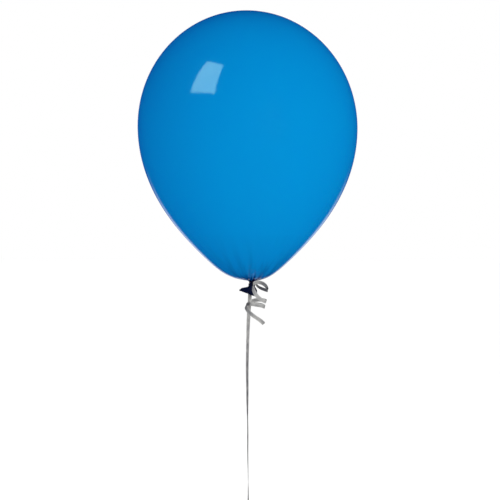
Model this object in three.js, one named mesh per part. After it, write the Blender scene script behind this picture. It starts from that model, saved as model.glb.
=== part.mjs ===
import * as THREE from "three";

// A round party balloon of stretched latex, tied off at its neck and held by a curling ribbon.
// Millimetres, +Z up. The origin is the tie at the neck, where the ribbon grips the latex.

// Driving dimensions: the inflated skin.
const BALLOON_RADIUS = 140;
const EQUATOR_HEIGHT = 197.9;
const CROWN_RISE = 148.4;
const BODY_DROP = 194.7;
const SKIN = 0.2;
const MOUTH_TURN = 0.985;
const AROUND = 40;

// The body's axis stands a little to the left of the neck and leans left as it rises.
const BODY_OFFSET = -3.8;
const BODY_LEAN = -0.0093;
const BEND_HEIGHT = 5;

// Driving dimensions: the neck, the crease that the ribbon bites into, and the overhand knot.
const GAP = 0.3;
const NECK_RADIUS = 3.4;
const NECK_TOP = 3.0;
const CREASE_TOP = 1.2;
const CREASE_CORE = 1.7;
const KNOT_CORE = 0.85;
const PLEATS = 9;
const PLEAT_DEPTH = 0.16;
const KNOT_RING = 3.1;
const KNOT_TUBE = 1.9;
const KNOT_HEIGHT = -2.5;

// Driving dimensions: the loose end of the neck below the knot, pressed flat and tilted.
const TAIL_TOP = { x: -0.9, z: -5.45 };
const TAIL_MOUTH = { x: -5.1, z: -12.6 };
const TAIL_TILT = THREE.MathUtils.degToRad(20.6);
const TAIL_TOP_HALF_WIDTH = 4.0;
const TAIL_MOUTH_HALF_WIDTH = 10.4;
const TAIL_TOP_HALF_DEPTH = 3.2;
const TAIL_MOUTH_HALF_DEPTH = 3.9;
const TAIL_WALL = 0.35;
const LIP_RADIUS = 0.9;

// Driving dimensions: the ribbon.
const RIBBON_WIDTH = 4.8;
const RIBBON_THICKNESS = 0.4;
const WRAP_RING = 2.65;
const WRAP_TUBE = 0.5;
const WRAP_HEIGHT = 0.4;
const RIBBON_KNOT = { x: 2.6, y: 4.8, z: 0.3 };
const RIBBON_KNOT_SIZE = { x: 2.3, y: 1.6, z: 1.5 };

// The curl, as the tube that its turns fill.
const CURL_TOP = new THREE.Vector3(11.5, -17.2, -2.4);
const CURL_BOTTOM = new THREE.Vector3(4.5, -17.2, -47.5);
const CURL_RADIUS = 11.4;
const CURL_WALL = 0.4;

// The tether's route, from the ribbon knot down to the knot of the hand loop. The lead lies just in
// front of the tether's top end, so that the tether can swing sideways behind it.
const LEAD_ROUTE = [
  [1.9, 6.2, -1.6],
  [0.6, 6.3, -5.5],
  [-1.2, 6.3, -10],
  [-2.5, 6.3, -14.7],
];
const TETHER_ROUTE = [
  [-2.6, 7.1, -15],
  [-4.3, 6.9, -42],
  [-5.1, 6.8, -62.5],
  [-5.6, 6.8, -83],
  [-6.1, 6.8, -108],
  [-5.9, 6.8, -134],
  [-5.8, 6.8, -162],
  [-5.4, 6.8, -190],
  [-5.4, 6.8, -218],
  [-5.0, 6.8, -246],
  [-4.8, 6.8, -282.2],
];

// How far the ribbon has turned from its broad side, in degrees, at each tenth of the tether.
const TETHER_TWIST = [0, 12, 26, 38, 52, 65, 78, 84, 87, 80, 66];

// The hand loop hangs from its knot, just as wide as two fingers.
const LOOP_KNOT = { x: -4.8, y: 6.8, z: -285.2 };
const LOOP_KNOT_SIZE = { x: 2.9, y: 2.5, z: 2.6 };
const LOOP_ROUTE = [
  [-6.0, 6.8, -288.2],
  [-10.5, 6.8, -296],
  [-17.0, 6.8, -309],
  [-19.8, 6.8, -323],
  [-16.6, 6.8, -336],
  [-4.8, 6.8, -343],
  [7.0, 6.8, -336],
  [10.2, 6.8, -323],
  [7.4, 6.8, -309],
  [0.9, 6.8, -296],
  [-3.6, 6.8, -288.2],
];
const LOOP_END_ROUTE = [
  [-4.0, 3.9, -286.4],
  [-2.2, 2.4, -290.5],
  [1.2, 0.6, -294.6],
  [5.6, -0.4, -297.2],
];

// Finishes.
const INFLATED_LATEX = new THREE.MeshStandardMaterial({ color: 0x0a7fc8, roughness: 0.18, metalness: 0 });
const SLACK_LATEX = new THREE.MeshStandardMaterial({ color: 0x0a1030, roughness: 0.45, metalness: 0 });
const RIBBON = new THREE.MeshStandardMaterial({ color: 0xa8a6a0, roughness: 0.35, metalness: 0 });

const balloon = new THREE.Group();

// Adds one named piece.
function addPiece(name, geometry, material) {
  const mesh = new THREE.Mesh(geometry, material);
  mesh.name = name;
  balloon.add(mesh);
}

// Moves every vertex of a geometry by a function that changes the vector it is given.
function reshape(geometry, move) {
  const position = geometry.getAttribute("position");
  const point = new THREE.Vector3();
  for (let i = 0; i < position.count; i++) {
    move(point.fromBufferAttribute(position, i), i);
    position.setXYZ(i, point.x, point.y, point.z);
  }
  geometry.computeVertexNormals();
  return geometry;
}

// Turns a profile of [radius, height] points about Z. The profile runs from the bottom up on its outside.
function revolve(profile, segments) {
  const points = profile.map(([radius, height]) => new THREE.Vector2(radius, height));
  return new THREE.LatheGeometry(points, segments).rotateX(Math.PI / 2);
}

// Sideways place of the body's axis at a height.
function axisShift(height) {
  return BODY_OFFSET * (1 - Math.exp(-Math.max(height - NECK_TOP, 0) / BEND_HEIGHT)) + BODY_LEAN * height;
}

// One point of the body's outline at a turn from the equator, which is 0, up to the crown, 1, or down
// to the closed end, -1. The upper half is an ellipse, and the lower half draws in to the neck.
function outlinePoint(turn) {
  const angle = (turn * Math.PI) / 2;
  const depth = Math.sin(-angle);
  if (turn >= 0) return new THREE.Vector2(BALLOON_RADIUS * Math.cos(angle), -CROWN_RISE * depth);
  const sharpness = 0.767 - 0.238 * depth ** 9;
  return new THREE.Vector2(BALLOON_RADIUS * Math.cos(angle) ** (2 * sharpness), -BODY_DROP * depth);
}

// The inflated skin: a thin shell, open at its lower end, where the neck goes on.
function envelope() {
  const below = 20;
  const above = 13;
  const outer = [];
  for (let i = 0; i < below; i++) outer.push(outlinePoint(-MOUTH_TURN * (1 - i / below)));
  for (let i = 0; i <= above; i++) outer.push(outlinePoint(i / above));
  const inner = outer.map((point, i) => {
    const before = outer[Math.max(i - 1, 0)];
    const after = outer[Math.min(i + 1, outer.length - 1)];
    const along = after.clone().sub(before).normalize();
    return new THREE.Vector2(point.x - along.y * SKIN, point.y + along.x * SKIN);
  });
  inner[inner.length - 1].set(0, CROWN_RISE - SKIN);
  outer[outer.length - 1].set(0, CROWN_RISE);
  const profile = [...inner.reverse(), ...outer].map((point) => [point.x, point.y + EQUATOR_HEIGHT]);
  return reshape(revolve(profile, AROUND), (point) => {
    point.x += axisShift(point.z);
  });
}

// The gathered neck: pleated above the crease, then a thin core that runs down through the knot.
function neck() {
  const profile = [
    [0, KNOT_HEIGHT - KNOT_TUBE - 0.1],
    [KNOT_CORE, KNOT_HEIGHT - KNOT_TUBE - 0.1],
    [KNOT_CORE, -0.3],
    [CREASE_CORE, -0.05],
    [CREASE_CORE, CREASE_TOP - 0.1],
    [NECK_RADIUS - 0.4, CREASE_TOP],
    [NECK_RADIUS, CREASE_TOP + 0.5],
    [NECK_RADIUS - 0.2, NECK_TOP - 0.4],
    [NECK_RADIUS - 0.7, NECK_TOP],
    [0, NECK_TOP],
  ];
  return reshape(revolve(profile, PLEATS * 4), (point) => {
    const radius = Math.hypot(point.x, point.y);
    if (radius <= CREASE_CORE) return;
    const pleat = 1 + (PLEAT_DEPTH / radius) * Math.cos(PLEATS * Math.atan2(point.y, point.x));
    point.x *= pleat;
    point.y *= pleat;
  });
}

// The overhand knot's roll of latex round the neck.
function latexKnot() {
  return new THREE.TorusGeometry(KNOT_RING, KNOT_TUBE, 14, 32).translate(0, 0, KNOT_HEIGHT);
}

// Places a point of the tail: along runs from the knot, 0, to the mouth, 1, and past it. The section
// there is an ellipse that grows and tilts, and inset draws the point in from it.
function tailPoint(along, around, inset, drop) {
  const opened = THREE.MathUtils.clamp(along, 0, 1);
  const tilt = TAIL_TILT * Math.sin((opened * Math.PI) / 2);
  const halfWidth = THREE.MathUtils.lerp(TAIL_TOP_HALF_WIDTH, TAIL_MOUTH_HALF_WIDTH, opened ** 1.15);
  const halfDepth = THREE.MathUtils.lerp(TAIL_TOP_HALF_DEPTH, TAIL_MOUTH_HALF_DEPTH, opened);
  const across = (halfWidth - inset) * Math.cos(around);
  const x = THREE.MathUtils.lerp(TAIL_TOP.x, TAIL_MOUTH.x, along);
  const z = THREE.MathUtils.lerp(TAIL_TOP.z, TAIL_MOUTH.z, along);
  return new THREE.Vector3(
    x + across * Math.cos(tilt) - drop * Math.sin(tilt),
    (halfDepth - inset) * Math.sin(around),
    z - across * Math.sin(tilt) - drop * Math.cos(tilt),
  );
}

// The flared end of the neck: a flattened funnel, closed at the knot and open at its mouth.
function tail() {
  const steps = 8;
  const profile = [[0, 0]];
  for (let i = 0; i <= steps; i++) profile.push([1, i / steps]);
  for (let i = steps; i >= 1; i--) profile.push([0.5, i / steps]);
  profile.push([0, 1 / steps]);
  const cup = revolve(profile.map(([radius, height]) => [radius, -height]).reverse(), 32);
  return reshape(cup, (point) => {
    const radius = Math.hypot(point.x, point.y);
    const around = Math.atan2(point.y, point.x);
    const along = -point.z;
    const placed = tailPoint(along, around, radius > 0.75 ? 0 : TAIL_WALL, 0);
    if (radius > 0.1) point.copy(placed);
    else point.copy(tailPoint(along, 0, 0, 0).add(tailPoint(along, Math.PI, 0, 0)).multiplyScalar(0.5));
  });
}

// The rolled bead round the mouth.
function rolledLip() {
  const ring = new THREE.TorusGeometry(1, 0.1, 8, 48);
  const uv = ring.getAttribute("uv");
  return reshape(ring, (point, i) => {
    const around = uv.getX(i) * 2 * Math.PI;
    const roll = uv.getY(i) * 2 * Math.PI;
    const drop = LIP_RADIUS + GAP + LIP_RADIUS * Math.sin(roll);
    point.copy(tailPoint(1, around, LIP_RADIUS * (0.5 + Math.cos(roll)), drop));
  });
}

// The ribbon's turn round the neck, bunched into the crease.
function ribbonWrap() {
  return new THREE.TorusGeometry(WRAP_RING, WRAP_TUBE, 8, 32).translate(0, 0, WRAP_HEIGHT);
}

// A small rounded knot.
function roundKnot(place, size) {
  const knot = new THREE.SphereGeometry(1, 16, 10).scale(size.x, size.y, size.z);
  return knot.translate(place.x, place.y, place.z);
}

// The ribbon's section: eight sides, flat, with its edges eased. Its width lies along X.
function ribbonSection() {
  const half = RIBBON_WIDTH / 2;
  const flat = RIBBON_THICKNESS / 2;
  const eased = flat / 2;
  return new THREE.Shape(
    [
      [half, -eased],
      [half, eased],
      [half - flat, flat],
      [flat - half, flat],
      [-half, eased],
      [-half, -eased],
      [flat - half, -flat],
      [half - flat, -flat],
    ].map(([x, y]) => new THREE.Vector2(x, y)),
  );
}

// Reads a list of values at a fraction of its length, from 0 to 1.
function valueAt(values, fraction) {
  const place = fraction * (values.length - 1);
  const index = Math.min(Math.floor(place), values.length - 2);
  return THREE.MathUtils.lerp(values[index], values[index + 1], place - index);
}

// A hanging length of ribbon along a route, turned about its own line by the given degrees.
function hangingRibbon(route, twist, steps) {
  const line = new THREE.CatmullRomCurve3(route.map((point) => new THREE.Vector3(...point)));
  const strip = new THREE.ExtrudeGeometry(ribbonSection(), { depth: 1, steps, bevelEnabled: false });
  return reshape(strip, (point) => {
    const fraction = THREE.MathUtils.clamp(1 - point.z, 0, 1);
    const turn = THREE.MathUtils.degToRad(valueAt(twist, fraction));
    const across = point.x;
    const through = point.y;
    point.copy(line.getPointAt(fraction));
    point.x += across * Math.cos(turn) - through * Math.sin(turn);
    point.y += across * Math.sin(turn) + through * Math.cos(turn);
  });
}

// The curl's tube: thin, open at both ends, with the turns' outer diameter.
function ribbonCurl() {
  const axis = CURL_TOP.clone().sub(CURL_BOTTOM);
  const ring = new THREE.Shape().absarc(0, 0, CURL_RADIUS, 0, 2 * Math.PI);
  ring.holes.push(new THREE.Path().absarc(0, 0, CURL_RADIUS - CURL_WALL, 0, 2 * Math.PI));
  const depth = axis.length();
  const tube = new THREE.ExtrudeGeometry(ring, { depth, steps: 8, bevelEnabled: false, curveSegments: 24 });
  const upright = new THREE.Quaternion().setFromUnitVectors(new THREE.Vector3(0, 0, 1), axis.normalize());
  return tube.applyQuaternion(upright).translate(CURL_BOTTOM.x, CURL_BOTTOM.y, CURL_BOTTOM.z);
}

// A ribbon that runs on its edge along a route, with its width across the route's own plane.
function edgewiseRibbon(route, steps) {
  const line = new THREE.CatmullRomCurve3(route.map((point) => new THREE.Vector3(...point)));
  return new THREE.ExtrudeGeometry(ribbonSection(), { steps, extrudePath: line, bevelEnabled: false });
}

addPiece("envelope", envelope(), INFLATED_LATEX);
addPiece("neck", neck(), SLACK_LATEX);
addPiece("latex_knot", latexKnot(), SLACK_LATEX);
addPiece("tail", tail(), SLACK_LATEX);
addPiece("rolled_lip", rolledLip(), SLACK_LATEX);
addPiece("ribbon_wrap", ribbonWrap(), RIBBON);
addPiece("ribbon_knot", roundKnot(RIBBON_KNOT, RIBBON_KNOT_SIZE), RIBBON);
addPiece("ribbon_curl", ribbonCurl(), RIBBON);
addPiece("tether_lead", hangingRibbon(LEAD_ROUTE, [0, 0], 8), RIBBON);
addPiece("tether", hangingRibbon(TETHER_ROUTE, TETHER_TWIST, 40), RIBBON);
addPiece("loop_knot", roundKnot(LOOP_KNOT, LOOP_KNOT_SIZE), RIBBON);
addPiece("hand_loop", edgewiseRibbon(LOOP_ROUTE, 48), RIBBON);
addPiece("loop_end", hangingRibbon(LOOP_END_ROUTE, [0, 30], 8), RIBBON);

export default balloon;
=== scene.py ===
"""A tied latex party balloon on a curling ribbon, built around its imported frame."""
import logging
import math
from dataclasses import dataclass, field
from enum import Enum

import bmesh
import bpy
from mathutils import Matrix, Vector


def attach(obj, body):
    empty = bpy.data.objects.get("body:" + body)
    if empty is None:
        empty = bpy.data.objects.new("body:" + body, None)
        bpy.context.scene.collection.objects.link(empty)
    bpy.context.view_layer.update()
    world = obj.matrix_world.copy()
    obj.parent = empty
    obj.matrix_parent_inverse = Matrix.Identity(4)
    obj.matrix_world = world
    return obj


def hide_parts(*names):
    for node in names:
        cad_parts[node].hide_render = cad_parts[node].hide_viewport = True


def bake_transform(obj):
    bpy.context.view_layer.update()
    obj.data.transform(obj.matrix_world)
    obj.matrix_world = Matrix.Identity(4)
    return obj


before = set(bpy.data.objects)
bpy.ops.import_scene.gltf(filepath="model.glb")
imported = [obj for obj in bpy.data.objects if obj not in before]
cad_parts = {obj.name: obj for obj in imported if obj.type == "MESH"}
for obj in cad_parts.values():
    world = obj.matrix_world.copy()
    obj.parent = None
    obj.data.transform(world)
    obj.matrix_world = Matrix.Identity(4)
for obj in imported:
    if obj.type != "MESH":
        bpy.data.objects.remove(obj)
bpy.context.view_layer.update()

MM = 0.001
TAU = 2 * math.pi
LOG = logging.getLogger("balloon")


# --------------------------------------------------------------------------- node expressions


class Value:
    """A socket that Python arithmetic works on: each operation adds its Math node."""

    def __init__(self, graph: "Graph", socket: bpy.types.NodeSocket) -> None:
        """Wraps a socket of a graph.

        Args:
            graph: The graph that new nodes go into.
            socket: The output socket.
        """
        self.graph = graph
        self.socket = socket

    def _math(self, operation: str, *operands: object) -> "Value":
        """Adds one Math node.

        Args:
            operation: The node's operation.
            operands: Values or numbers, in socket order.

        Returns:
            The node's result.
        """
        inputs = {index: operand for index, operand in enumerate(operands)}
        return self.graph.node("ShaderNodeMath", {"operation": operation}, inputs)["Value"]

    def __add__(self, other: object) -> "Value":
        """Adds."""
        return self._math("ADD", self, other)

    def __sub__(self, other: object) -> "Value":
        """Subtracts."""
        return self._math("SUBTRACT", self, other)

    def __mul__(self, other: object) -> "Value":
        """Multiplies."""
        return self._math("MULTIPLY", self, other)

    def __truediv__(self, other: object) -> "Value":
        """Divides."""
        return self._math("DIVIDE", self, other)

    def __pow__(self, other: object) -> "Value":
        """Raises to a power."""
        return self._math("POWER", self, other)

    def __mod__(self, other: object) -> "Value":
        """Gives the remainder, never negative."""
        return self._math("FLOORED_MODULO", self, other)

    def sin(self) -> "Value":
        """Gives the sine."""
        return self._math("SINE", self)

    def cos(self) -> "Value":
        """Gives the cosine."""
        return self._math("COSINE", self)

    def exp(self) -> "Value":
        """Gives e to this power."""
        return self._math("EXPONENT", self)

    def floor(self) -> "Value":
        """Rounds down."""
        return self._math("FLOOR", self)

    def absolute(self) -> "Value":
        """Drops the sign."""
        return self._math("ABSOLUTE", self)

    def sign(self) -> "Value":
        """Gives the sign."""
        return self._math("SIGN", self)

    def above(self, limit: object) -> "Value":
        """Gives 1 where this is over a limit, else 0."""
        return self._math("GREATER_THAN", self, limit)

    def at_least(self, limit: object) -> "Value":
        """Gives the larger of this and a limit."""
        return self._math("MAXIMUM", self, limit)

    def at_most(self, limit: object) -> "Value":
        """Gives the smaller of this and a limit."""
        return self._math("MINIMUM", self, limit)


class Outputs:
    """The output sockets of one node, by name or number, as values."""

    def __init__(self, graph: "Graph", node: bpy.types.Node) -> None:
        """Holds a node.

        Args:
            graph: The node's graph.
            node: The node.
        """
        self.graph = graph
        self.node = node

    def __getitem__(self, key: str | int) -> Value:
        """Gives one output.

        Args:
            key: The socket's name or number.

        Returns:
            The socket as a value.
        """
        return Value(self.graph, self.node.outputs[key])


class Graph:
    """A node tree that nodes are added to by one method."""

    MIX_FIRST = 6
    MIX_SECOND = 7
    MIX_RESULT = 2

    def __init__(self, tree: bpy.types.NodeTree) -> None:
        """Wraps a tree.

        Args:
            tree: A shader or geometry node tree.
        """
        self.tree = tree

    def node(self, kind: str, settings: dict | None = None, inputs: dict | None = None) -> Outputs:
        """Adds a node.

        Args:
            kind: The node's type.
            settings: Attributes set first, such as a Math node's operation, or a ramp's stops.
            inputs: Socket name or number to a number, a colour, a vector or a Value.

        Returns:
            The node's outputs.
        """
        node = self.tree.nodes.new(kind)
        for name, setting in (settings or {}).items():
            if name == "stops":
                self._stops(node.color_ramp, setting)
            else:
                setattr(node, name, setting)
        for key, value in (inputs or {}).items():
            if isinstance(value, Value):
                self.tree.links.new(value.socket, node.inputs[key])
            else:
                node.inputs[key].default_value = value
        return Outputs(self, node)

    @staticmethod
    def _stops(ramp: bpy.types.ColorRamp, stops: list[tuple[float, tuple]]) -> None:
        """Sets a ramp's stops.

        Args:
            ramp: The ramp.
            stops: Places and colours, in order.
        """
        while len(ramp.elements) < len(stops):
            ramp.elements.new(1.0)
        for element, (place, colour) in zip(ramp.elements, stops):
            element.position = place
            element.color = colour

    def vector(self, x: object, y: object, z: object) -> Value:
        """Joins three values to a vector.

        Args:
            x: The first part.
            y: The second part.
            z: The third part.

        Returns:
            The vector.
        """
        return self.node("ShaderNodeCombineXYZ", None, {"X": x, "Y": y, "Z": z})["Vector"]

    def vector_math(self, operation: str, *operands: object) -> Value:
        """Adds a Vector Math node.

        Args:
            operation: The node's operation.
            operands: Vectors, in socket order. A number goes to Scale.

        Returns:
            The vector that comes out.
        """
        inputs = {("Scale" if operation == "SCALE" and i else i): o for i, o in enumerate(operands)}
        return self.node("ShaderNodeVectorMath", {"operation": operation}, inputs)["Vector"]

    def noise(self, place: Value, scale: float, detail: float) -> Value:
        """Adds a cloudy noise.

        Args:
            place: Where it is read.
            scale: How many clouds there are to a unit.
            detail: How fine it gets.

        Returns:
            The noise, about 0.5 on average.
        """
        inputs = {"Vector": place, "Scale": scale, "Detail": detail}
        return self.node("ShaderNodeTexNoise", None, inputs)["Fac"]

    def mix(self, factor: object, first: object, second: object) -> Value:
        """Mixes two colours.

        Args:
            factor: 0 for the first, 1 for the second.
            first: A colour.
            second: A colour.

        Returns:
            The mixed colour.
        """
        inputs = {0: factor, self.MIX_FIRST: first, self.MIX_SECOND: second}
        return self.node("ShaderNodeMix", {"data_type": "RGBA"}, inputs)[self.MIX_RESULT]


# --------------------------------------------------------------------------- finishes


class Finish:
    """What every finish shares: a material with one Principled shader."""

    name = "finish"

    def material(self) -> bpy.types.Material:
        """Gives the finish's material, made on first use.

        Returns:
            The material.
        """
        made = bpy.data.materials.get(self.name)
        if made is None:
            made = bpy.data.materials.new(self.name)
            made.use_nodes = True
            made.node_tree.nodes.clear()
            graph = Graph(made.node_tree)
            shader = self.shader(graph)
            graph.node("ShaderNodeOutputMaterial", None, {"Surface": shader})
        return made

    def shader(self, graph: Graph) -> Value:
        """Builds the shader.

        Args:
            graph: The material's graph.

        Returns:
            The shader's output.
        """
        raise NotImplementedError


@dataclass(frozen=True)
class InflatedLatex(Finish):
    """Stretched latex: a thin, glossy, translucent blue film that is deeper where it is thicker, with a
    painted glow, an emission that stands in for light passing through the film.
    """

    name: str = "inflated_latex_film"
    thin: tuple = (0.0004, 0.225, 0.385, 1.0)
    thick: tuple = (0.0010, 0.110, 0.300, 1.0)
    gathered: tuple = (0.0015, 0.010, 0.085, 1.0)
    # painted glow: emission colours that stand in for light passing through the film, dimmer where the
    # film is thick or gathered
    glow: tuple = (0.0, 0.045, 0.270, 1.0)
    painted_dim_glow: tuple = (0.0, 0.004, 0.080, 1.0)
    painted_gathered_glow: tuple = (0.0, 0.0, 0.010, 1.0)
    roughness: float = 0.08
    gloss: float = 0.35
    subsurface: float = 0.4
    spread: tuple = (0.1, 0.4, 1.0)
    depth: float = 30 * MM
    top: float = 346.5 * MM
    crown_reach: float = 12 * MM
    crown_share: float = 0.45
    thick_below: float = 30 * MM
    neck_share: float = 0.6
    cloud_scale: tuple = (14.0, 14.0, 3.0)
    cloud_share: float = 0.10
    low_part: float = 60 * MM
    gather_reach: float = 17 * MM
    gather_share: float = 0.85
    streak_share: float = 2.2
    fine_scale: float = 90.0
    pleat_scale: float = 7.0
    pleat_drift: float = 30.0

    def shader(self, graph: Graph) -> Value:
        """Builds the film: colour by the skin's thickness, a painted glow that stands in for light coming
        through the film, and a fine dipped surface.

        Args:
            graph: The material's graph.

        Returns:
            The shader's output.
        """
        place = graph.node("ShaderNodeTexCoord")["Object"]
        parts = graph.node("ShaderNodeSeparateXYZ", None, {"Vector": place})
        height = parts["Z"]
        reach = (parts["X"] * parts["X"] + parts["Y"] * parts["Y"]) ** 0.5
        stretch = graph.vector_math("MULTIPLY", place, self.cloud_scale)
        cloud = graph.noise(stretch, 1.0, 3.0)
        outward = graph.vector_math("NORMALIZE", graph.vector(parts["X"], parts["Y"], 0.0))
        spokes = graph.vector_math("ADD", graph.vector_math("SCALE", outward, self.pleat_scale),
                                   graph.vector(0.0, 0.0, reach * self.pleat_drift))
        pleats = graph.noise(spokes, 1.0, 2.0)
        streaks = ((pleats - 0.42) * 5.0).at_least(0.0).at_most(1.0)

        low = (height * -1.0 + self.low_part).above(0.0)
        gather = (reach * (-1 / self.gather_reach)).exp() * low
        neck = (height * (-1 / self.thick_below)).exp()
        crown = ((height - self.top) * (1 / self.crown_reach)).exp()
        thickness = neck * self.neck_share + crown * self.crown_share + (cloud - 0.5) * self.cloud_share
        thickness = thickness.at_least(0.0).at_most(1.0)
        navy = (gather * (streaks * self.streak_share + self.gather_share)).at_least(0.0).at_most(1.0)
        tint = graph.mix(navy, graph.mix(thickness, self.thin, self.thick), self.gathered)
        # painted glow: the skin emits this colour in place of light coming through the film
        painted_glow = graph.mix(navy, graph.mix(thickness, self.glow, self.painted_dim_glow), self.painted_gathered_glow)

        fine = graph.noise(place, self.fine_scale, 2.0)
        bump = graph.node("ShaderNodeBump", None, {
            "Strength": 0.25,
            "Distance": 0.4 * MM,
            "Height": fine * 0.1 + pleats * gather,
        })
        shader = graph.node("ShaderNodeBsdfPrincipled", {"subsurface_method": "RANDOM_WALK"}, {
            "Base Color": tint,
            "Roughness": (cloud - 0.5) * 0.06 + self.roughness,
            "IOR": 1.5,
            "Specular IOR Level": self.gloss,
            "Subsurface Weight": self.subsurface,
            "Subsurface Radius": self.spread,
            "Subsurface Scale": self.depth,
            "Emission Color": painted_glow,
            "Emission Strength": 1.0,
            "Normal": bump["Normal"],
        })
        return shader["BSDF"]


@dataclass(frozen=True)
class SlackLatex(Finish):
    """Unstretched latex: thick, deep navy, satin, with fine creases along its folds."""

    name: str = "slack_latex_navy"
    # painted light and shade on the folds: the deep colour goes in the creases, the raised colour on the
    # ridges
    deep: tuple = (0.0012, 0.0028, 0.016, 1.0)
    raised: tuple = (0.0020, 0.0075, 0.048, 1.0)
    roughness: float = 0.38
    fold_scale: tuple = (900.0, 900.0, 160.0)
    dust_scale: float = 2600.0
    crease_depth: float = 0.25 * MM

    def shader(self, graph: Graph) -> Value:
        """Builds the thick latex, dusty in its creases, its colour painted lighter on the ridges and
        darker in the creases as painted light and shade.

        Args:
            graph: The material's graph.

        Returns:
            The shader's output.
        """
        place = graph.node("ShaderNodeTexCoord")["Object"]
        folds = graph.vector_math("MULTIPLY", place, self.fold_scale)
        crease = graph.noise(folds, 1.0, 4.0)
        dust = graph.noise(place, self.dust_scale, 2.0)
        relief = {"Strength": 0.45, "Distance": self.crease_depth, "Height": crease}
        bump = graph.node("ShaderNodeBump", None, relief)
        shader = graph.node("ShaderNodeBsdfPrincipled", None, {
            # painted light and shade: the colour follows the crease relief, lighter on the ridges and
            # darker in the creases
            "Base Color": graph.mix(crease, self.deep, self.raised),
            "Roughness": (dust - 0.5) * 0.2 + self.roughness,
            "IOR": 1.5,
            "Specular IOR Level": 0.25,
            "Normal": bump["Normal"],
        })
        return shader["BSDF"]


@dataclass(frozen=True)
class RibbonFilm(Finish):
    """Crimped film ribbon: silvery grey, satin, with fine ribs along its length."""

    name: str = "curling_ribbon_film"
    light: tuple = (0.88, 0.87, 0.83, 1.0)
    dark: tuple = (0.120, 0.122, 0.138, 1.0)
    roughness: float = 0.30
    metallic: float = 0.15
    line_share: float = 0.6
    cloud_share: float = 0.7
    # painted highlight along both edges of the film
    painted_edge_highlight: float = 0.25
    back_share: float = 0.1
    base_tone: float = 0.09
    relief: float = 0.04 * MM

    def shader(self, graph: Graph) -> Value:
        """Builds the film from the strip's own map, with painted light and shade along the strip and a
        painted highlight towards its edges.

        Its X runs from edge to edge, its Y along the strip in metres, and its Z is 1 on one face and -1 on
        the other.

        Args:
            graph: The material's graph.

        Returns:
            The shader's output.
        """
        chart = graph.node("ShaderNodeAttribute", {"attribute_name": "strip"})["Vector"]
        parts = graph.node("ShaderNodeSeparateXYZ", None, {"Vector": chart})
        across = parts["X"]
        along = parts["Y"]
        back = parts["Z"].above(0.0)
        # painted light and shade along the strip: lengths painted paler stand in for light, lengths
        # painted darker stand in for shadow
        painted_shade = graph.node("ShaderNodeAttribute", {"attribute_name": "painted_shade"})["Vector"]
        painted_shade = graph.node("ShaderNodeSeparateXYZ", None, {"Vector": painted_shade})["X"]
        lines = graph.vector(across * 9.0, along * 40.0, 0.0)
        drawn = graph.noise(lines, 1.0, 3.0)
        patches = graph.vector(across * 0.5, along * 130.0, 0.0)
        cloud = graph.noise(patches, 1.0, 2.0)
        raised = {"Strength": 0.5, "Distance": self.relief, "Height": drawn}
        bump = graph.node("ShaderNodeBump", None, raised)
        # painted highlight: the colour is painted paler towards both edges of the film
        edge = across.absolute() ** 3.0
        tone = drawn * self.line_share + (cloud - 0.5) * self.cloud_share + edge * self.painted_edge_highlight
        tone = tone + back * self.back_share + painted_shade + self.base_tone
        tone = tone.at_least(0.0).at_most(1.0)
        shader = graph.node("ShaderNodeBsdfPrincipled", None, {
            "Base Color": graph.mix(tone, self.dark, self.light),
            "Roughness": (drawn - 0.5) * 0.25 + self.roughness,
            "Metallic": self.metallic,
            "Specular IOR Level": 0.5,
            "Normal": bump["Normal"],
        })
        return shader["BSDF"]


@dataclass(frozen=True)
class PaleFloor(Finish):
    """A matt white studio floor."""

    name: str = "pale_floor"
    dull: tuple = (0.86, 0.86, 0.86, 1.0)
    clean: tuple = (0.90, 0.90, 0.90, 1.0)

    def shader(self, graph: Graph) -> Value:
        """Builds the floor, faintly mottled.

        Args:
            graph: The material's graph.

        Returns:
            The shader's output.
        """
        place = graph.node("ShaderNodeTexCoord")["Object"]
        mottle = graph.noise(place, 1.5, 3.0)
        shader = graph.node("ShaderNodeBsdfPrincipled", None, {
            "Base Color": graph.mix(mottle, self.dull, self.clean),
            "Roughness": 0.9,
            "Specular IOR Level": 0.1,
        })
        return shader["BSDF"]


class Slot(Enum):
    """The record's material slots, with their finishes."""

    INFLATED = "inflated_latex"
    SLACK = "slack_latex"
    RIBBON = "ribbon"


FINISHES = {Slot.INFLATED: InflatedLatex(), Slot.SLACK: SlackLatex(), Slot.RIBBON: RibbonFilm()}


# --------------------------------------------------------------------------- meshes and trees


def new_object(name: str, mesh: bpy.types.Mesh) -> bpy.types.Object:
    """Links a new object for a mesh.

    Args:
        name: The piece's name.
        mesh: Its mesh, in metres.

    Returns:
        The object, at the origin.
    """
    made = bpy.data.objects.new(name, mesh)
    bpy.context.scene.collection.objects.link(made)
    return made


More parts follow.
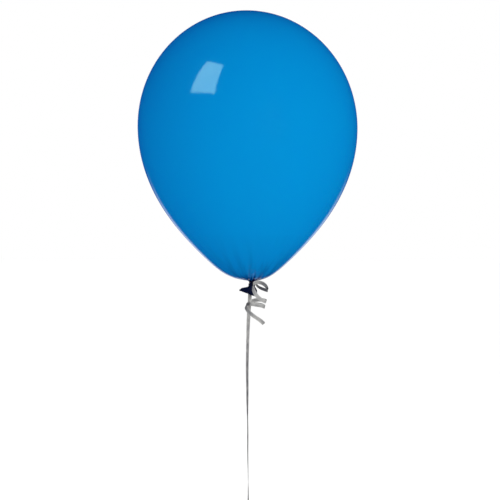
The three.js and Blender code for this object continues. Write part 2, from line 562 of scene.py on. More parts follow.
class Former:
    """A Geometry Nodes tree that is built in steps and then run once into a plain mesh."""

    def __init__(self, name: str, inputs: dict[str, tuple[str, float | int]]) -> None:
        """Starts a tree with its geometry sockets and named inputs.

        Args:
            name: The tree's name.
            inputs: Input name to its kind, Float or Int, and its value.
        """
        self.tree = bpy.data.node_groups.new(name, "GeometryNodeTree")
        self.graph = Graph(self.tree)
        face = self.tree.interface
        face.new_socket("Geometry", in_out="INPUT", socket_type="NodeSocketGeometry")
        face.new_socket("Geometry", in_out="OUTPUT", socket_type="NodeSocketGeometry")
        for label, (kind, _) in inputs.items():
            face.new_socket(label, in_out="INPUT", socket_type=f"NodeSocket{kind}")
        self.sizes = {label: value for label, (_, value) in inputs.items()}
        self.given = self.graph.node("NodeGroupInput")

    def run(self, name: str, source: bpy.types.Mesh, result: Value, finish: Finish) -> bpy.types.Object:
        """Ends the tree and runs it on a mesh.

        Args:
            name: The piece's name.
            source: The mesh that the tree starts from.
            result: The geometry that the tree has made.
            finish: The piece's finish.

        Returns:
            The piece, a plain mesh.
        """
        real = self.graph.node("GeometryNodeRealizeInstances", None, {"Geometry": result})["Geometry"]
        inputs = {"Geometry": real, "Material": finish.material()}
        dressed = self.graph.node("GeometryNodeSetMaterial", None, inputs)["Geometry"]
        self.graph.node("NodeGroupOutput", None, {"Geometry": dressed})
        holder = new_object(name + "_source", source)
        modifier = holder.modifiers.new("former", "NODES")
        modifier.node_group = self.tree
        sockets = {item.name: item.identifier for item in self.tree.interface.items_tree
                   if item.in_out == "INPUT"}
        for label, value in self.sizes.items():
            modifier[sockets[label]] = value
        formed = holder.evaluated_get(bpy.context.evaluated_depsgraph_get())
        mesh = bpy.data.meshes.new_from_object(formed)
        mesh.name = name
        bpy.data.objects.remove(holder)
        mesh.shade_smooth()
        if not mesh.materials:
            mesh.materials.append(finish.material())
        return new_object(name, mesh)


def smooth_through(points: list[Vector], steps: int) -> list[Vector]:
    """Runs a smooth line through points, evenly spaced by length.

    Args:
        points: The points, in order.
        steps: How many steps the line has.

    Returns:
        One more point than steps.
    """
    ends = [points[0] * 2 - points[1], *points, points[-1] * 2 - points[-2]]
    fine = []
    for i in range(len(points) - 1):
        a, b, c, d = ends[i:i + 4]
        for k in range(16):
            t = k / 16
            fine.append(0.5 * (2 * b + (c - a) * t + (2 * a - 5 * b + 4 * c - d) * t * t
                               + (3 * b - a - 3 * c + d) * t ** 3))
    fine.append(points[-1])
    lengths = [0.0]
    for before, after in zip(fine, fine[1:]):
        lengths.append(lengths[-1] + (after - before).length)
    line = []
    place = 0
    for k in range(steps + 1):
        target = lengths[-1] * k / steps
        while place < len(fine) - 2 and lengths[place + 1] < target:
            place += 1
        span = lengths[place + 1] - lengths[place]
        line.append(fine[place].lerp(fine[place + 1], (target - lengths[place]) / span if span else 0.0))
    return line


def line_length(line: list[Vector]) -> float:
    """Measures a line.

    Args:
        line: Its points.

    Returns:
        Its length in metres.
    """
    return sum((b - a).length for a, b in zip(line, line[1:]))


def tangents(line: list[Vector]) -> list[Vector]:
    """Gives a line's direction at each of its points.

    Args:
        line: Its points.

    Returns:
        Unit vectors.
    """
    last = len(line) - 1
    return [(line[min(i + 1, last)] - line[max(i - 1, 0)]).normalized() for i in range(last + 1)]


def softened(vectors: list[Vector], reach: int) -> list[Vector]:
    """Averages each vector with its neighbours.

    Args:
        vectors: The vectors.
        reach: How many neighbours count on each side.

    Returns:
        As many unit vectors.
    """
    return [sum(vectors[max(i - reach, 0):i + reach + 1], Vector()).normalized()
            for i in range(len(vectors))]


def eased(line: list[Vector], reach: int) -> list[Vector]:
    """Rounds a line's kinks by averaging each point with its neighbours, the ends left in place.

    Args:
        line: Its points.
        reach: How many neighbours count on each side.

    Returns:
        As many points.
    """
    rounded = []
    for i in range(len(line)):
        near = min(reach, i, len(line) - 1 - i)
        rounded.append(sum(line[i - near:i + near + 1], Vector()) / (2 * near + 1))
    return rounded


def tangle(centre: tuple, size: tuple) -> list[Vector]:
    """Runs a line through a tight overhand knot.

    Args:
        centre: The knot's centre, in millimetres.
        size: Its scale along each axis, in millimetres.

    Returns:
        The line's points, in metres.
    """
    points = []
    for i in range(49):
        t = TAU * i / 52
        knot = (math.sin(t) + 2 * math.sin(2 * t), math.cos(t) - 2 * math.cos(2 * t), -math.sin(3 * t))
        points.append((Vector(centre) + Vector([a * b for a, b in zip(knot, size)])) * MM)
    return points


def turned_about(line: list[Vector], centre: Vector) -> list[Vector]:
    """Lays a ribbon's broad side towards a centre.

    Args:
        line: The ribbon's line.
        centre: The centre.

    Returns:
        The direction across the ribbon at each point.
    """
    wide = [tangent.cross(point - centre).normalized() for point, tangent in zip(line, tangents(line))]
    steady = [wide[0]]
    for vector in wide[1:]:
        steady.append(vector if vector.dot(steady[-1]) > 0 else -vector)
    return softened(steady, 4)


def smooth_value(values: list[float], fraction: float) -> float:
    """Reads a list of values at a fraction of its length, with a smooth curve through them.

    Args:
        values: The values.
        fraction: From 0 to 1.

    Returns:
        The value there.
    """
    place = min(max(fraction, 0.0), 1.0) * (len(values) - 1)
    index = min(int(place), len(values) - 2)
    t = place - index
    b, c = values[index], values[index + 1]
    a = values[index - 1] if index else 2 * b - c
    d = values[index + 2] if index + 2 < len(values) else 2 * c - b
    return 0.5 * (2 * b + (c - a) * t + (2 * a - 5 * b + 4 * c - d) * t * t
                  + (3 * b - a - 3 * c + d) * t ** 3)


def value_at(values: list[float], fraction: float) -> float:
    """Reads a list of values at a fraction of its length.

    Args:
        values: The values.
        fraction: From 0 to 1.

    Returns:
        The value there.
    """
    place = min(max(fraction, 0.0), 1.0) * (len(values) - 1)
    index = min(int(place), len(values) - 2)
    return values[index] + (values[index + 1] - values[index]) * (place - index)


def in_mm(points: list[tuple[float, float, float]]) -> list[Vector]:
    """Turns points in millimetres to vectors in metres.

    Args:
        points: The points.

    Returns:
        The vectors.
    """
    return [Vector(point) * MM for point in points]


# --------------------------------------------------------------------------- the ribbon


@dataclass
class Strip:
    """A length of flat ribbon along a line, each point with the direction across it."""

    name: str
    line: list[Vector]
    across: list[Vector]
    fullness: tuple = (1.0, 1.0)
    # painted light and shade along the length, from start to end
    painted_shades: tuple = (0.0, 0.0)
    width: float = 4.8 * MM
    thickness: float = 0.16 * MM
    ribs: int = 12
    rib_height: float = 0.03 * MM
    section: int = 96

    def form(self) -> bpy.types.Object:
        """Forms the ribbed strip, closed at both ends.

        Returns:
            The piece.
        """
        former = Former(self.name + "_form", {
            "Width": ("Float", self.width),
            "Thickness": ("Float", self.thickness),
            "Ribs": ("Int", self.ribs),
            "Rib height": ("Float", self.rib_height),
            "Section points": ("Int", self.section),
            "Line points": ("Int", len(self.line)),
            "Length": ("Float", line_length(self.line)),
        })
        graph = former.graph
        given = former.given
        grid = graph.node("GeometryNodeMeshGrid", None, {
            "Vertices X": given["Section points"] + 1.0,
            "Vertices Y": given["Line points"],
        })["Mesh"]
        index = graph.node("GeometryNodeInputIndex")["Index"]
        row = index % given["Line points"]
        turn = ((index / given["Line points"]).floor() / given["Section points"]) * TAU

        def sampled(value: Value) -> Value:
            """Reads a vector of the source line at this point's row."""
            inputs = {"Geometry": given["Geometry"], "Value": value, "Index": row}
            settings = {"data_type": "FLOAT_VECTOR"}
            return graph.node("GeometryNodeSampleIndex", settings, inputs)["Value"]

        def stored(label: str) -> Value:
            """Names one of the source line's attributes."""
            settings = {"data_type": "FLOAT_VECTOR"}
            return graph.node("GeometryNodeInputNamedAttribute", settings, {"Name": label})["Attribute"]

        last = given["Line points"] - 1.0
        open_end = row.at_most(last - row).at_most(1.0)
        side = turn.cos()
        half = given["Width"] * 0.5
        rib = (side * given["Ribs"] * (TAU / 2)).cos() * given["Rib height"]
        lift = turn.sin().sign() * (turn.sin().absolute() ** 0.35) * (given["Thickness"] * 0.5 + rib)
        wide = graph.vector_math("SCALE", sampled(stored("across")), side * half)
        thick = graph.vector_math("SCALE", sampled(stored("through")), lift * open_end)
        centre = sampled(graph.node("GeometryNodeInputPosition")["Position"])
        place = graph.vector_math("ADD", centre, graph.vector_math("ADD", wide, thick))
        moved = {"Geometry": grid, "Position": place}
        placed = graph.node("GeometryNodeSetPosition", None, moved)["Geometry"]
        chart = graph.vector(side, row / last * given["Length"], turn.sin().sign())
        mapped = graph.node("GeometryNodeStoreNamedAttribute", {"data_type": "FLOAT_VECTOR"}, {
            "Geometry": placed,
            "Name": "strip",
            "Value": chart,
        })["Geometry"]
        # carries the painted light and shade onto the strip's faces
        shaded = graph.node("GeometryNodeStoreNamedAttribute", {"data_type": "FLOAT_VECTOR"}, {
            "Geometry": mapped,
            "Name": "painted_shade",
            "Value": sampled(stored("painted_shade")),
        })["Geometry"]
        merge = {"Geometry": shaded, "Distance": 0.002 * MM}
        closed = graph.node("GeometryNodeMergeByDistance", None, merge)["Geometry"]
        return former.run(self.name, self._source(), closed, FINISHES[Slot.RIBBON])

    def _source(self) -> bpy.types.Mesh:
        """Makes the line as a mesh of edges, with the directions across and through at each point.

        Returns:
            The mesh.
        """
        mesh = bpy.data.meshes.new(self.name + "_line")
        edges = [(i, i + 1) for i in range(len(self.line) - 1)]
        mesh.from_pydata([tuple(point) for point in self.line], edges, [])
        across = mesh.attributes.new("across", "FLOAT_VECTOR", "POINT")
        through = mesh.attributes.new("through", "FLOAT_VECTOR", "POINT")
        # the painted light and shade at each point of the line
        painted_shade = mesh.attributes.new("painted_shade", "FLOAT_VECTOR", "POINT")
        last = len(self.line) - 1
        for i, (tangent, wide) in enumerate(zip(tangents(self.line), self.across)):
            square = (wide - tangent * wide.dot(tangent)).normalized()
            across.data[i].vector = square * value_at(self.fullness, i / last)
            through.data[i].vector = tangent.cross(square)
            painted_shade.data[i].vector = (value_at(self.painted_shades, i / last), 0, 0)
        return mesh


@dataclass
class Ribbon:
    """The curling ribbon: tied in the neck's crease, with a curl in front and a long straight end."""

    width: float = 4.8 * MM
    wrap_turns: float = 2.3
    wrap_radii: tuple = (2.05, 2.3)
    wrap_heights: tuple = (-0.22, 0.28)
    knot_centre: tuple = (2.6, 4.8, 0.3)
    knot_size: tuple = (0.62, 0.42, 0.72)
    knot_tail: tuple = ((4.7, 3.3, 0.5), (5.7, 1.2, 0.1), (6.0, -1.2, -0.5), (5.4, -3.5, -1.3))
    lead_route: tuple = ((1.9, 6.2, -1.6), (0.6, 6.3, -5.5), (-1.3, 6.3, -10), (-2.6, 6.85, -15.3))
    tether_route: tuple = (
        (-2.6, 7.1, -15), (-4.3, 6.9, -42), (-5.1, 6.8, -62.5), (-5.6, 6.8, -83), (-6.1, 6.8, -108),
        (-5.9, 6.8, -134), (-5.8, 6.8, -162), (-5.4, 6.8, -190), (-5.4, 6.8, -218), (-5.0, 6.8, -246),
        (-4.8, 6.8, -282.2))
    tether_twist: tuple = (0, 12, 33, 42, 48, 56, 75, 71, 77, 85, 68)
    # painted shade down the tether: pale at the top, painted darker where it turns edge-on
    tether_painted_shades: tuple = (0.1, 0.0, -0.15, -0.3, -0.35, -0.35, -0.35, -0.35, -0.35, -0.35, -0.3)
    loop_knot_centre: tuple = (-4.8, 6.8, -285.2)
    loop_knot_size: tuple = (0.62, 0.45, 0.8)
    loop_route: tuple = (
        (-6.0, 6.8, -288.2), (-10.5, 6.8, -296), (-17.0, 6.8, -309), (-19.8, 6.8, -323),
        (-16.6, 6.8, -336), (-4.8, 6.8, -343), (7.0, 6.8, -336), (10.2, 6.8, -323), (7.4, 6.8, -309),
        (0.9, 6.8, -296), (-3.6, 6.8, -288.2))
    loop_end_route: tuple = ((-4.0, 3.9, -286.4), (-2.2, 2.4, -290.5), (1.2, 0.6, -294.6),
                             (5.6, -0.4, -297.2))
    curl_folds: tuple = (
        (5.4, -3.5, -1.3), (20.5, -17.5, -9.8), (0.6, -13.0, -2.6), (18.6, -17.5, -23.4),
        (-3.6, -16.5, -25.5), (16.9, -18.0, -30.6), (-8.6, -17.0, -27.5), (14.7, -18.0, -51.6))
    curl_depths: tuple = (-3.0, 4.5, -7.5, 8.5, -9.0, 9.0, -8.0)
    curl_bows: tuple = (-1.6, 7.3, -6.3, 3.4, 1.0, 2.6, -2.2)
    # painted light and shade along the curl, turn by turn: negative values paint shadow, positive values
    # paint light
    curl_painted_shades: tuple = (
        -0.05, -0.75, -0.35, -0.1, 0.1, 0.0, -0.05, 0.1, 0.25, -0.1, -0.1, -0.1, -0.5, -0.05, -0.15)
    curl_reach: float = 20.0
    steps_per_half_turn: int = 36
    curl_ease: int = 6

    def wrap(self) -> Strip:
        """Makes the bunched turns that grip the crease.

        Returns:
            The strip.
        """
        steps = 150
        line = []
        for i in range(steps + 1):
            along = i / steps
            turn = TAU * (self.wrap_turns * along + 0.12)
            radius = value_at(self.wrap_radii, along) + 0.08 * math.sin(5 * turn)
            height = value_at(self.wrap_heights, along) + 0.07 * math.sin(3 * turn + 1)
            line.append(Vector((radius * math.cos(turn), radius * math.sin(turn), height)) * MM)
        across = [Vector((0.25 * point.x / MM / 3, 0.25 * point.y / MM / 3, 1)) for point in line]
        return Strip("ribbon_wrap_strip", line, across, width=1.05 * MM, thickness=0.34 * MM, ribs=3,
                     rib_height=0.08 * MM, section=32)

    def knot(self) -> Strip:
        """Makes the tight knot behind the neck, and the short run round to the curl.

        Returns:
            The strip.
        """
        route = tangle(self.knot_centre, self.knot_size) + in_mm(self.knot_tail)
        line = smooth_through(route, 260)
        across = turned_about(line, Vector(self.knot_centre) * MM)
        return Strip("ribbon_knot_strip", line, across, fullness=(0.40, 0.42, 0.42, 0.42, 0.45, 0.6, 0.62),
                     section=48)

    def loop_knot(self) -> Strip:
        """Makes the knot that closes the hand loop.

        Returns:
            The strip.
        """
        line = smooth_through(tangle(self.loop_knot_centre, self.loop_knot_size), 260)
        across = turned_about(line, Vector(self.loop_knot_centre) * MM)
        return Strip("loop_knot_strip", line, across, fullness=(0.5, 0.5), section=48)

    def hanging(self, name: str, route: tuple, twist: tuple, steps: int,
                painted_shades: tuple = (0.0, 0.0)) -> Strip:
        """Makes a hanging length, turned about its own line.

        Args:
            name: The piece's name.
            route: The route's points, in millimetres.
            twist: Degrees from the broad side, from top to bottom.
            steps: How many steps the strip has.
            painted_shades: Painted light and shade, how pale or dark it is from top to bottom.

        Returns:
            The strip.
        """
        line = smooth_through(in_mm(route), steps)
        across = []
        for i in range(len(line)):
            turn = math.radians(value_at(twist, i / steps))
            across.append(Vector((math.cos(turn), math.sin(turn), 0)))
        return Strip(name, line, across, painted_shades=painted_shades)

    def loop(self) -> Strip:
        """Makes the hand loop, its broad side towards the hand.

        Returns:
            The strip.
        """
        line = smooth_through(in_mm(self.loop_route), 160)
        return Strip("hand_loop_strip", line, [Vector((0, 1, 0))] * len(line))

    def curl(self) -> Strip:
        """Makes the curl: each half turn swings from one side to the other, in front or behind.

        Returns:
            The strip.
        """
        folds = in_mm(self.curl_folds)
        line = []
        across = []
        for half, (start, end) in enumerate(zip(folds, folds[1:])):
            bulge = Vector((0, self.curl_depths[half], 0)) * MM
            front = Vector((0, math.copysign(self.curl_reach, self.curl_depths[half]), 0)) * MM
            bow = self.curl_bows[half] * MM
            for step in range(self.steps_per_half_turn):
                along = step / self.steps_per_half_turn
                turn = along * TAU / 2
                point = start.lerp(end, (1 - math.cos(turn)) / 2) + bulge * math.sin(turn)
                point.z = start.z + (end.z - start.z) * along + bow * math.sin(turn)
                line.append(point)
                across.append((start - end) * (math.cos(turn) / 2) + front * math.sin(turn))
        line.append(folds[-1])
        across.append(across[-1])
        line = eased(line, self.curl_ease)
        wide = []
        for tangent, outward in zip(tangents(line), across):
            square = tangent.cross(outward).normalized()
            wide.append(square if square.z > 0 else -square)
        return Strip("ribbon_curl_strip", line, softened(wide, 9), fullness=(0.6, 0.95, 1, 1, 1, 1, 1, 1),
                     painted_shades=self.curl_painted_shades)


# --------------------------------------------------------------------------- the latex


class Shell:
    """A closed surface through rings of points."""

    def __init__(self, name: str, rings: list[list[Vector]], looped: bool = False) -> None:
        """Joins rings that all have the same number of points.

        Args:
            name: The piece's name.
            rings: The rings, in order.
            looped: Whether the last ring joins the first. If not, each end is closed by a cap.
        """
        self.name = name
        self.rings = rings
        self.looped = looped

    def form(self, finish: Finish) -> bpy.types.Object:
        """Makes the piece, smooth, with its faces pointing out.

        Args:
            finish: Its finish.

        Returns:
            The piece.
        """
        points = [point for ring in self.rings for point in ring]
        around = len(self.rings[0])
        count = len(self.rings)
        faces = []
        for i in range(count if self.looped else count - 1):
            low = i * around
            high = (i + 1) % count * around
            for j in range(around):
                k = (j + 1) % around
                faces.append((low + j, low + k, high + k, high + j))
        if not self.looped:
            for first in (0, (count - 1) * around):
                ring = points[first:first + around]
                points.append(sum(ring, Vector()) / around)
                faces += [(first + j, first + (j + 1) % around, len(points) - 1) for j in range(around)]
        mesh = bpy.data.meshes.new(self.name)
        mesh.from_pydata([tuple(point) for point in points], [], faces)
        work = bmesh.new()
        work.from_mesh(mesh)
        bmesh.ops.recalc_face_normals(work, faces=work.faces)
        work.to_mesh(mesh)
        work.free()
        mesh.shade_smooth()
        mesh.materials.append(finish.material())
        return new_object(self.name, mesh)


@dataclass
class Envelope:
    """The inflated skin: an ellipse above its equator, drawn in to the pleated neck below it."""

    radius: float = 140 * MM
    equator: float = 197.9 * MM
    crown: float = 148.4 * MM
    drop: float = 194.7 * MM
    offset: float = -3.8 * MM
    lean: float = -0.0093
    bend: float = 5 * MM
    taper: float = 1.534
    neck_taper: float = -0.476
    neck_power: float = 9.0
    row_spacing: float = 1.4
    neck_top: float = 3.0 * MM
    rows: int = 170
    columns: int = 224
    pleats: int = 19
    pleat_depth: float = 0.55 * MM
    pleat_reach: float = 11 * MM

    def form(self) -> bpy.types.Object:
        """Forms the skin by its outline's rule.

        Returns:
            The piece.
        """
        former = Former("envelope_form", {
            "Radius": ("Float", self.radius),
            "Equator height": ("Float", self.equator),
            "Crown rise": ("Float", self.crown),
            "Drop": ("Float", self.drop),
            "Rows": ("Int", self.rows),
            "Columns": ("Int", self.columns),
            "Pleats": ("Int", self.pleats),
            "Pleat depth": ("Float", self.pleat_depth),
            "Pleat reach": ("Float", self.pleat_reach),
        })
        graph = former.graph
        given = former.given
        grid = graph.node("GeometryNodeMeshGrid", None, {
            "Vertices X": given["Columns"] + 1.0,
            "Vertices Y": given["Rows"] + 1.0,
        })["Mesh"]
        index = graph.node("GeometryNodeInputIndex")["Index"]
        row = index % (given["Rows"] + 1.0)
        column = (index / (given["Rows"] + 1.0)).floor()
        around = column / given["Columns"] * TAU
        angle = ((row / given["Rows"]) ** self.row_spacing * 2.0 - 1.0) * (TAU / 4)
        depth = angle.sin() * -1.0
        below = depth.above(0.0)
        sharpness = depth.at_least(0.0) ** self.neck_power * self.neck_taper + self.taper
        girth = angle.cos().at_least(0.0) ** (below * (sharpness - 1.0) + 1.0)
        radius = girth * given["Radius"]
        reach = given["Crown rise"] + below * (given["Drop"] - given["Crown rise"])
        height = given["Equator height"] - depth * reach
        wave = (around * given["Pleats"]).cos() + (around * 31.0 + 1.3).cos() * 0.45
        wave = wave + (around * 12.0 + 0.4).sin() * 0.5
        near = below * (radius * -1.0 / given["Pleat reach"]).exp() * (radius / (3.0 * MM)).at_most(1.0)
        height = height - wave * near * given["Pleat depth"]
        rise = (height - self.neck_top).at_least(0.0)
        shift = ((rise * (-1 / self.bend)).exp() * -1.0 + 1.0) * self.offset + height * self.lean
        place = graph.vector(radius * around.cos() + shift, radius * around.sin(), height)
        moved = {"Geometry": grid, "Position": place}
        placed = graph.node("GeometryNodeSetPosition", None, moved)["Geometry"]
        merge = {"Geometry": placed, "Distance": 0.01 * MM}
        closed = graph.node("GeometryNodeMergeByDistance", None, merge)["Geometry"]
        return former.run("envelope_skin", bpy.data.meshes.new("empty"), closed, FINISHES[Slot.INFLATED])


@dataclass
class Neck:
    """The gathered latex below the skin: pleats drawn in to the crease, and a core through the knot."""

    profile: tuple = (
        (2.8, 4.0, 0.0), (6.4, 3.66, 0.10), (5.8, 3.22, 0.20), (4.8, 2.75, 0.30), (4.1, 2.1, 0.42),
        (3.75, 1.45, 0.46), (3.7, 0.8, 0.42), (3.5, 0.3, 0.30), (2.9, 0.12, 0.15), (2.1, 0.2, 0.1),
        (1.9, 0.0, 0.1), (2.0, -0.5, 0.1), (2.6, -1.2, 0.1), (2.3, -2.6, 0.1), (1.6, -4.2, 0.1))
    pleats: int = 9
    around: int = 144
    rows: int = 84

    def form(self) -> bpy.types.Object:
        """Forms the neck.

        Returns:
            The piece.
        """
        rings = []
        for row in range(self.rows + 1):
            along = row / self.rows
            radius, height, fold = (smooth_value(list(column), along) for column in zip(*self.profile))
            ring = []
            for j in range(self.around):
                turn = TAU * j / self.around
                ridge = abs(math.cos(self.pleats * turn / 2 + 0.5 * math.sin(turn))) ** 0.7 - 0.6
                fine = math.cos(23 * turn + 2 * height) * 0.22 + math.cos(14 * turn - height) * 0.25
                reach = radius + fold * (ridge + fine)
                ring.append(Vector((reach * math.cos(turn), reach * math.sin(turn), height)) * MM)
            rings.append(ring)
        return Shell("neck_gather", rings).form(FINISHES[Slot.SLACK])


@dataclass
class LatexKnot:
    """The overhand knot's roll: a wrinkled strand wound round the neck's core."""

    turns: float = 1.7
    start: float = -300.0
    ring: tuple = (2.5, 3.15, 3.2, 3.2, 3.0, 2.3)
    heights: tuple = (-1.5, -1.5, -1.6, -1.75, -2.9, -3.4)
    strand: tuple = (0.8, 1.5, 1.65, 1.65, 1.5, 0.8)
    around: int = 48
    rows: int = 180

    def form(self) -> bpy.types.Object:
        """Forms the roll.

        Returns:
            The piece.
        """
        rings = []
        for row in range(self.rows + 1):
            along = row / self.rows
            turn = math.radians(self.start) + TAU * self.turns * along
            reach = smooth_value(self.ring, along)
            height = smooth_value(self.heights, along) + 0.3 * math.sin(turn + 3.0)
            thick = smooth_value(self.strand, along) * (1 + 0.05 * math.sin(9 * turn))
            out = Vector((math.cos(turn), math.sin(turn), 0))
            ring = []
            for j in range(self.around):
                side = TAU * j / self.around
                crease = 0.10 * math.cos(6 * side + 2.6 * turn) + 0.06 * math.cos(11 * side - 4 * turn)
                size = thick * (1 + crease)
                offset = out * (math.cos(side) * size) + Vector((0, 0, math.sin(side) * size * 0.92))
                ring.append((out * reach + Vector((0, 0, height)) + offset) * MM)
            rings.append(ring)
        return Shell("latex_knot_roll", rings).form(FINISHES[Slot.SLACK])


@dataclass
class Tail:
    """The flattened, flared end of the neck, with its rolled bead."""

    top: tuple = (-0.9, -4.75)
    mouth: tuple = (-5.1, -12.6)
    tilt: float = 20.6
    half_widths: tuple = (4.6, 10.5)
    half_depths: tuple = (3.2, 3.9)
    shoulder: float = 2.4
    wall: float = 0.35
    lip: float = 0.9
    start: float = -0.26
    around: int = 160
    rows: int = 60

    def axis(self, along: float) -> Vector:
        """Places a point on the funnel's axis.

        Args:
            along: 0 at the top and 1 at the mouth.

        Returns:
            The point, in metres.
        """
        x = self.top[0] + (self.mouth[0] - self.top[0]) * along
        z = self.top[1] + (self.mouth[1] - self.top[1]) * along
        return Vector((x, 0, z)) * MM

    def point(self, along: float, around: float, inset: float, drop: float = 0.0) -> Vector:
        """Places a point on the funnel.

        Args:
            along: 0 at the top and 1 at the mouth.
            around: The turn round the funnel in radians, 0 on its right.
            inset: How far in from the outer face, in millimetres.
            drop: How far past the mouth, in millimetres.

        Returns:
            The point, in metres.
        """
        opened = min(max(along, 0.0), 1.0)
        tilt = math.radians(self.tilt) * math.sin(opened * TAU / 4)
        wide = self.half_widths[0] + (self.half_widths[1] - self.half_widths[0]) * opened
        wide += self.shoulder * math.sin(opened * TAU / 2)
        deep = self.half_depths[0] + (self.half_depths[1] - self.half_depths[0]) * opened
        gather = 1 - 0.55 * min(1.0, max(0.0, -along) / 0.26) ** 1.5
        fold = 0.42 * math.sin(7 * around + 0.8) + 0.22 * math.sin(12 * around - 3 * along)
        fold *= 1 - 0.55 * opened
        across = (wide * gather - inset) * math.cos(around)
        y = (deep * gather - inset + fold) * math.sin(around)
        x = across * math.cos(tilt) - drop * math.sin(tilt)
        z = -across * math.sin(tilt) - drop * math.cos(tilt)
        return self.axis(along) + Vector((x, y, z)) * MM

    def form(self) -> bpy.types.Object:
        """Forms the funnel: its outer face down to the mouth, and its inner face back up.

        Returns:
            The piece.
        """
        rings = []
        for inset, rows in ((0.0, range(self.rows + 1)), (self.wall, range(self.rows, -1, -1))):
            for row in rows:
                along = self.start + (1 - self.start) * row / self.rows
                rings.append([self.point(along, TAU * j / self.around, inset) for j in range(self.around)])
        return Shell("tail_funnel", rings, looped=True).form(FINISHES[Slot.SLACK])

    def bead(self) -> bpy.types.Object:
        """Forms the rolled bead round the mouth, with a small curled nub at its left end.

        Returns:
            The piece.
        """
        rings = []
        steps = 240
        for i in range(steps):
            turn = TAU * i / steps
            nub = math.exp(-((turn - TAU / 2) / 0.16) ** 2)
            size = self.lip * (1 + 0.07 * math.sin(5 * turn) + 0.05 * math.sin(13 * turn + 1) + 0.55 * nub)
            centre = self.point(1.0, turn, 0.45 - 0.3 * nub, 0.25)
            ahead = self.point(1.0, turn + 0.01, 0.25, 0.25) - self.point(1.0, turn - 0.01, 0.25, 0.25)
            down = self.point(1.0, turn, 0.25, 1.25) - self.point(1.0, turn, 0.25, 0.25)
            down = down.normalized()
            out = ahead.normalized().cross(down)
            ring = []
            for j in range(24):
                side = TAU * j / 24
                ring.append(centre + (out * math.cos(side) + down * math.sin(side)) * size * MM)
            rings.append(ring)
        return Shell("rolled_bead", rings, looped=True).form(FINISHES[Slot.SLACK])


# --------------------------------------------------------------------------- the studio


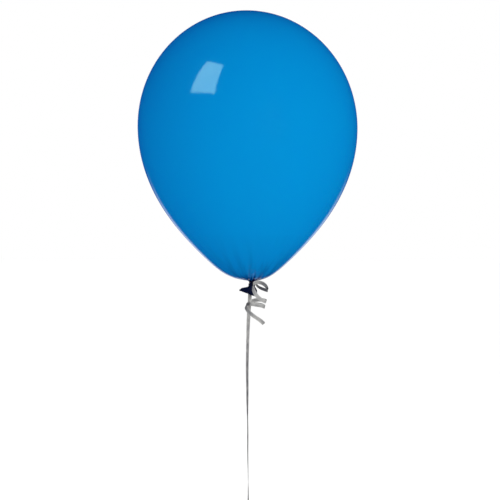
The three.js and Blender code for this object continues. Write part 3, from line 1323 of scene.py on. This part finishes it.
@dataclass
class Studio:
    """The camera, the lights and the floor."""

    centre: Vector = field(default_factory=lambda: Vector((-2.55, 0, 42.1)) * MM)
    distance: float = 1.7737
    lens: float = 100.0
    floor_height: float = -0.42
    floor_half: float = 60.0
    white: float = 1.0
    fill: float = 0.58
    fill_slope: float = -0.32
    mirror: float = 0.95
    mirror_base: float = 0.005

    def camera(self) -> None:
        """Sets the camera level with the balloon's lower third, straight in front."""
        data = bpy.data.cameras.new("camera")
        data.lens = self.lens
        data.sensor_width = 36.0
        data.clip_end = 400.0
        camera = bpy.data.objects.new("camera", data)
        camera.location = self.centre + Vector((0, -self.distance, 0))
        camera.rotation_euler = (math.radians(90), 0, 0)
        bpy.context.scene.collection.objects.link(camera)
        bpy.context.scene.camera = camera

    def area(self, name: str, place: tuple, aim: tuple, size: tuple, power: float) -> bpy.types.Object:
        """Adds one soft light.

        Args:
            name: Its name.
            place: Where it stands.
            aim: What it points at.
            size: Its width and height.
            power: Its power in watts.

        Returns:
            The light.
        """
        data = bpy.data.lights.new(name, "AREA")
        data.shape = "RECTANGLE"
        data.size, data.size_y = size
        data.energy = power
        light = bpy.data.objects.new(name, data)
        light.location = place
        light.rotation_euler = (Vector(aim) - Vector(place)).to_track_quat("-Z", "Y").to_euler()
        bpy.context.scene.collection.objects.link(light)
        return light

    @staticmethod
    def only_for(light: bpy.types.Object, receiver: bpy.types.Object) -> None:
        """Lets a light fall on one object only.

        Args:
            light: The light.
            receiver: The object that it lights.
        """
        lit = bpy.data.collections.new(light.name + "_receiver")
        lit.objects.link(receiver)
        light.light_linking.receiver_collection = lit

    def lights(self) -> None:
        """Sets a softbox high on the left for the skin's gloss, a wide front light and the surround."""
        bpy.context.scene.view_settings.view_transform = "Standard"
        soft = self.area("softbox", (-0.90, -0.81, 1.28), (0.0, 0.0, 1.28), (0.60, 1.02), 14.0)
        soft.data.color = (0.55, 1.0, 0.83)
        soft.visible_diffuse = False
        self.only_for(soft, bpy.data.objects["envelope_skin"])
        front = self.area("front_light", (0.95, -2.35, 0.55), (0, 0, 0.18), (1.6, 1.6), 38.0)
        front.visible_glossy = False
        self.surround()

    def surround(self) -> None:
        """Sets the white room, mirrored only behind and below, at the skin's lower edges.

        Its own light sampling stays off, because its strength differs between lit and mirrored surfaces.
        """
        world = bpy.data.worlds.new("surround")
        bpy.context.scene.world = world
        world.use_nodes = True
        world.node_tree.nodes.clear()
        world.cycles.sampling_method = "NONE"
        graph = Graph(world.node_tree)
        direction = graph.node("ShaderNodeTexCoord")["Generated"]
        way = graph.node("ShaderNodeSeparateXYZ", None, {"Vector": direction})
        low = ((way["Z"] * -1.0 - 0.04) / 0.12).at_least(0.0).at_most(1.0)
        behind = ((way["Y"] - 0.88) / 0.08).at_least(0.0).at_most(1.0)
        path = graph.node("ShaderNodeLightPath")
        seen = self.glow(graph, self.white)
        fill = self.glow(graph, way["Z"] * self.fill_slope + self.fill)
        mirrored = self.glow(graph, low * behind * self.mirror + self.mirror_base)
        unseen = {0: path["Is Glossy Ray"], 1: fill, 2: mirrored}
        rays = graph.node("ShaderNodeMixShader", None, unseen)["Shader"]
        every = {0: path["Is Camera Ray"], 1: rays, 2: seen}
        both = graph.node("ShaderNodeMixShader", None, every)["Shader"]
        graph.node("ShaderNodeOutputWorld", None, {"Surface": both})

    @staticmethod
    def glow(graph: Graph, strength: object) -> Value:
        """Adds one white background to the surround.

        Args:
            graph: The surround's graph.
            strength: How bright it is.

        Returns:
            Its shader.
        """
        inputs = {"Color": (1.0, 1.0, 1.0, 1.0), "Strength": strength}
        return graph.node("ShaderNodeBackground", None, inputs)["Background"]

    def floor(self) -> None:
        """Lays the floor well below the hand loop, out of the balloon's own light and reflections."""
        half = self.floor_half
        mesh = bpy.data.meshes.new("floor")
        corners = [(-half, -half), (half, -half), (half, half), (-half, half)]
        mesh.from_pydata([(x, y, self.floor_height) for x, y in corners], [], [(0, 1, 2, 3)])
        mesh.materials.append(PaleFloor().material())
        floor = new_object("floor", mesh)
        floor.visible_diffuse = False
        floor.visible_glossy = False
        lamp = bpy.data.lights.new("floor_lamp", "SUN")
        lamp.energy = 2.6
        lamp.angle = math.radians(50)
        light = bpy.data.objects.new("floor_lamp", lamp)
        bpy.context.scene.collection.objects.link(light)
        self.only_for(light, floor)


# --------------------------------------------------------------------------- the whole


def dressed(piece: bpy.types.Object, slot: Slot, *nodes: str) -> bpy.types.Object:
    """Hides the nodes that a piece stands for, and reports the piece.

    Args:
        piece: The piece.
        slot: Its material slot. Not used.
        nodes: The nodes it replaces.

    Returns:
        The piece.
    """
    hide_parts(*nodes)
    LOG.info("%s: %d faces", piece.name, len(piece.data.polygons))
    return piece


def tie_ribbon(ribbon: Ribbon) -> None:
    """Makes the ribbon's lengths and attaches them to their bodies.

    Args:
        ribbon: The ribbon.
    """
    curl = ribbon.curl()
    curl_piece = dressed(curl.form(), Slot.RIBBON, "ribbon_curl")
    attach(curl_piece, "curl")
    round(line_length(curl.line), 3)

    lead = ribbon.hanging("tether_lead_strip", ribbon.lead_route, (0, 0), 24)
    lead_piece = dressed(lead.form(), Slot.RIBBON, "tether_lead")
    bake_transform(lead_piece)

    tether = ribbon.hanging("tether_strip", ribbon.tether_route, ribbon.tether_twist, 200,
                            ribbon.tether_painted_shades)
    tether_piece = dressed(tether.form(), Slot.RIBBON, "tether")
    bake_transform(tether_piece)
    knot_piece = dressed(ribbon.loop_knot().form(), Slot.RIBBON, "loop_knot")
    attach(knot_piece, "tether")
    end_piece = dressed(ribbon.hanging("loop_end_strip", ribbon.loop_end_route, (0, 25), 40).form(),
                        Slot.RIBBON, "loop_end")
    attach(end_piece, "tether")
    round(line_length(tether.line), 3)

    loop = ribbon.loop()
    loop_piece = dressed(loop.form(), Slot.RIBBON, "hand_loop")
    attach(loop_piece, "loop")
    round(line_length(loop.line), 3)

    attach(dressed(ribbon.wrap().form(), Slot.RIBBON, "ribbon_wrap"), "balloon")
    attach(dressed(ribbon.knot().form(), Slot.RIBBON, "ribbon_knot"), "balloon")


def blow_balloon() -> None:
    """Makes the latex pieces."""
    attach(dressed(Envelope().form(), Slot.INFLATED, "envelope"), "balloon")
    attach(dressed(Neck().form(), Slot.SLACK, "neck"), "balloon")
    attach(dressed(LatexKnot().form(), Slot.SLACK, "latex_knot"), "balloon")
    tail = Tail()
    funnel = dressed(tail.form(), Slot.SLACK, "tail")
    tail.axis(-0.2)
    tail.axis(0.15)
    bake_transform(funnel)
    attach(dressed(tail.bead(), Slot.SLACK, "rolled_lip"), "tail")


def main() -> None:
    """Builds the balloon and its studio."""
    logging.basicConfig(level=logging.INFO, format="%(message)s")
    studio = Studio()
    studio.camera()
    tie_ribbon(Ribbon())
    blow_balloon()
    studio.lights()
    studio.floor()


if __name__ == "__main__":
    main()
